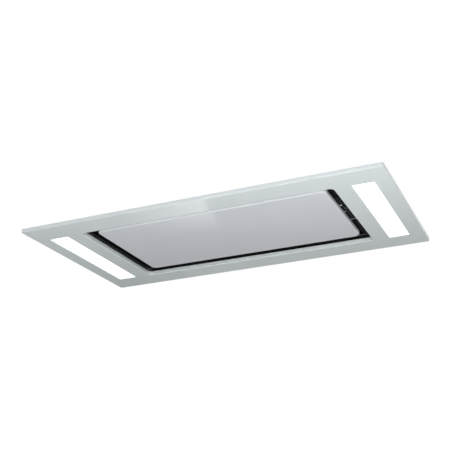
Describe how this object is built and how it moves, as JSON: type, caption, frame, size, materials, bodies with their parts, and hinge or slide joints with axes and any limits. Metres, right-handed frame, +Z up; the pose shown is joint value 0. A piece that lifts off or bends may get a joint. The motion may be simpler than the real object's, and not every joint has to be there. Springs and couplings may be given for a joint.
{
  "type": "ceiling range hood",
  "caption": "Flush white ceiling range hood with a swing-down centre panel, dark perimeter suction gap, light panels, grease filters, blower and duct spigot.",
  "frame": {"origin": "centre of the fascia's underside, the face that looks down into the room", "axes": "+X along the fascia's long side, +Y away from the cook towards the panel's hinge, +Z up into the ceiling"},
  "size_m": [0.9, 0.5, 0.3347],
  "materials": {
    "white_enamel": "gloss",
    "dark_enamel": "satin",
    "opal_diffuser": "satin",
    "galvanised_sheet": "satin",
    "spring_steel": "brushed",
    "bright_steel": "polished",
    "filter_aluminium": "brushed",
    "gasket_foam": "matt",
    "grommet_rubber": "matt",
    "ferrite": "matt",
    "control_gloss": "gloss",
    "control_dark": "matt",
    "button_grey": "satin",
    "clear_lens": "gloss",
    "white_plastic": "satin",
    "box_plastic": "matt",
    "circuit_board": "satin",
    "motor_shell": "satin",
    "wheel_steel": "satin"
  },
  "bodies": {
    "hood": {"fascia": "white_enamel", "ceiling_gasket": "gasket_foam", "fascia_magnets": "ferrite", "liner": "dark_enamel", "drip_rail": "bright_steel", "base_pan": "dark_enamel", "light_box_left": "galvanised_sheet", "light_box_right": "galvanised_sheet", "light_box_nuts": "bright_steel", "led_boards": "white_plastic", "diffuser_left": "opal_diffuser", "diffuser_right": "opal_diffuser", "led_driver": "white_plastic", "control_shelf": "dark_enamel", "control_plate": "control_gloss", "control_seam_strip": "bright_steel", "receiver_window": "clear_lens", "status_lens": "clear_lens", "control_housing": "control_dark", "control_board": "circuit_board", "filter_frame_left": "filter_aluminium", "filter_frame_right": "filter_aluminium", "filter_mesh_left": "filter_aluminium", "filter_mesh_right": "filter_aluminium", "hinge_brackets": "spring_steel", "hinge_pins": "bright_steel", "catch_magnets": "ferrite", "housing_shell": "galvanised_sheet", "housing_frames": "galvanised_sheet", "top_plate": "galvanised_sheet", "hanger_brackets": "galvanised_sheet", "sheet_screws": "bright_steel", "scroll_wrap": "galvanised_sheet", "scroll_side_left": "galvanised_sheet", "scroll_side_right": "galvanised_sheet", "scroll_flange": "galvanised_sheet", "motor": "motor_shell", "motor_bearings": "bright_steel", "motor_bracket": "spring_steel", "motor_grommets": "grommet_rubber", "run_capacitor": "white_plastic", "capacitor_clip": "spring_steel", "duct_collar": "galvanised_sheet", "flap_pin": "bright_steel", "electronics_box": "box_plastic", "electronics_cover": "box_plastic", "main_board": "circuit_board", "terminal_block": "white_plastic", "cable_gland": "control_dark"},
    "centre_panel": {"panel_skin": "white_enamel", "panel_tray": "galvanised_sheet", "hinge_leaves": "spring_steel", "strike_plates": "spring_steel"},
    "button": {"push_button": "button_grey"},
    "latch_left": {"filter_latch_left": "spring_steel"},
    "latch_right": {"filter_latch_right": "spring_steel"},
    "blower": {"blower_wheel": "wheel_steel", "motor_shaft": "bright_steel"},
    "flap_near": {"flap_near": "white_plastic"},
    "flap_far": {"flap_far": "white_plastic"}
  },
  "joints": [
    {"name": "panel_hinge", "type": "hinge", "parent": "hood", "child": "centre_panel", "pos_m": [0, 0.148, 0.026], "axis": [1, 0, 0], "range_deg": [0, 90]},
    {"name": "button_press", "type": "slide", "parent": "hood", "child": "button", "axis": [0, 0, 1], "range_m": [0, 0.002], "stiffness_N_per_m": 400, "springref_m": -0.002},
    {"name": "filter_latch_left_slide", "type": "slide", "parent": "hood", "child": "latch_left", "axis": [0, 1, 0], "range_m": [0, 0.0042], "stiffness_N_per_m": 500, "springref_m": -0.004},
    {"name": "filter_latch_right_slide", "type": "slide", "parent": "hood", "child": "latch_right", "axis": [0, 1, 0], "range_m": [0, 0.0042], "stiffness_N_per_m": 500, "springref_m": -0.004},
    {"name": "blower_spin", "type": "hinge", "parent": "hood", "child": "blower", "pos_m": [0, -0.013, 0.186], "axis": [1, 0, 0], "continuous": true},
    {"name": "flap_near_hinge", "type": "hinge", "parent": "hood", "child": "flap_near", "pos_m": [0, 0.07385, 0.2892], "axis": [-1, 0, 0], "range_deg": [0, 75]},
    {"name": "flap_far_hinge", "type": "hinge", "parent": "hood", "child": "flap_far", "pos_m": [0, 0.07385, 0.2892], "axis": [1, 0, 0], "range_deg": [0, 75]}
  ]
}
